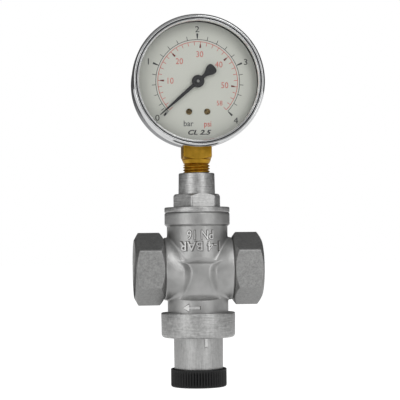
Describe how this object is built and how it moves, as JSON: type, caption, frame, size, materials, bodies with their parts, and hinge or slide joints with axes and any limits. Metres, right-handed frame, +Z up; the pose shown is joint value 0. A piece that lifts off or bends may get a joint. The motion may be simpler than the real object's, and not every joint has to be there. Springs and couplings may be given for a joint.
{
  "type": "pressure reducing valve",
  "caption": "Pressure reducing valve with hexagonal threaded pipe ends, a round gauge on top and a ribbed adjusting knob below.",
  "frame": {"origin": "where the pipe axis crosses the upright axis of the valve", "axes": "+X points out of the inlet, -X out of the outlet, +Z up through the gauge port, the dial faces -Y"},
  "size_m": [0.064, 0.0362, 0.1795],
  "materials": {
    "plated_brass": "matt nickel plated forged brass",
    "turned_brass": "machined yellow brass",
    "bronze_tube": "drawn bronze",
    "steel": "zinc plated steel",
    "spring_steel": "wound spring steel",
    "case_steel": "pressed stainless steel",
    "polished_steel": "polished stainless steel",
    "window_glass": "clear flat glass",
    "black_rubber": "nitrile rubber",
    "copper_fibre": "pressed sealing fibre",
    "black_plastic": "ribbed black nylon",
    "dial_enamel": "pale grey enamel",
    "pointer_black": "black paint"
  },
  "bodies": {
    "valve": {"valve_body": "plated_brass", "seat_ring": "turned_brass", "gauge_port_plug": "plated_brass", "plug_o_ring": "black_rubber", "spring_bonnet": "plated_brass", "bonnet_gasket": "copper_fibre", "thrust_washer": "steel", "gauge_sealing_washer": "copper_fibre", "gauge_socket": "turned_brass", "gauge_case": "case_steel", "case_screws": "steel", "bezel_ring": "polished_steel", "gauge_window": "window_glass", "window_gasket": "black_rubber", "dial_plate": "dial_enamel", "dial_screws": "steel", "stop_pin": "steel", "bourdon_tube": "bronze_tube", "movement_front_plate": "turned_brass", "movement_rear_plate": "turned_brass", "movement_screws": "steel", "movement_pillars": "turned_brass", "hairspring_stud": "turned_brass", "regulating_spring": "spring_steel"},
    "adjuster": {"adjusting_screw": "steel", "adjusting_knob": "black_plastic", "knob_screw": "steel"},
    "spring_plate": {"spring_plate": "turned_brass"},
    "spindle": {"valve_spindle": "steel", "balance_o_ring": "black_rubber", "valve_disc": "turned_brass", "valve_seal": "black_rubber", "seal_nut": "turned_brass", "piston": "turned_brass", "piston_o_ring": "black_rubber", "spindle_nut": "steel"},
    "sector": {"sector_gear": "turned_brass", "sector_arbor": "steel", "tail_pin": "steel"},
    "link": {"link": "turned_brass"},
    "tube_tip": {"tube_end_piece": "turned_brass", "tip_pin": "steel"},
    "pointer": {"pinion_shaft": "steel", "pointer": "pointer_black", "pointer_hub": "turned_brass", "hairspring": "bronze_tube"}
  },
  "joints": [
    {"name": "adjuster_turn", "type": "hinge", "parent": "valve", "child": "adjuster", "pos_m": [0, 0, -0.0528], "axis": [0, 0, 1], "range_deg": [0, 1800]},
    {"name": "spring_plate_slide", "type": "slide", "parent": "valve", "child": "spring_plate", "axis": [0, 0, 1], "range_m": [0, 0.005], "deforming": ["regulating_spring"]},
    {"name": "piston_slide", "type": "slide", "parent": "valve", "child": "spindle", "axis": [0, 0, -1], "range_m": [0, 0.0027], "stiffness_N_per_m": 2000, "springref_m": -0.002, "deforming": ["regulating_spring"]},
    {"name": "sector_swing", "type": "hinge", "parent": "valve", "child": "sector", "pos_m": [0, 0, 0.07235], "axis": [0, 1, 0], "range_deg": [-33.3, 0], "stiffness_Nm_per_rad": 0.02, "springref_deg": 5.73},
    {"name": "pointer_turn", "type": "hinge", "parent": "valve", "child": "pointer", "pos_m": [0, 0, 0.09035], "axis": [0, 1, 0], "range_deg": [0, 266.5], "deforming": ["hairspring"]},
    {"name": "tube_tip_flex", "type": "hinge", "parent": "valve", "child": "tube_tip", "pos_m": [-0.00505, 0, 0.09004], "axis": [0, 1, 0], "range_deg": [-10.54, 0], "deforming": ["bourdon_tube"]},
    {"name": "link_swing", "type": "hinge", "parent": "sector", "child": "link", "pos_m": [0.00564, 0, 0.0703], "axis": [0, 1, 0], "range_deg": [0, 37.35]}
  ],
  "couplings": [
    {"joint": "adjuster_turn", "follows": "spring_plate_slide", "rad_per_m": 6283.2},
    {"joint": "pointer_turn", "follows": "sector_swing", "ratio": -8},
    {"joint": "tube_tip_flex", "follows": "sector_swing", "ratio": 0.315},
    {"joint": "link_swing", "follows": "sector_swing", "ratio": -1.12}
  ]
}
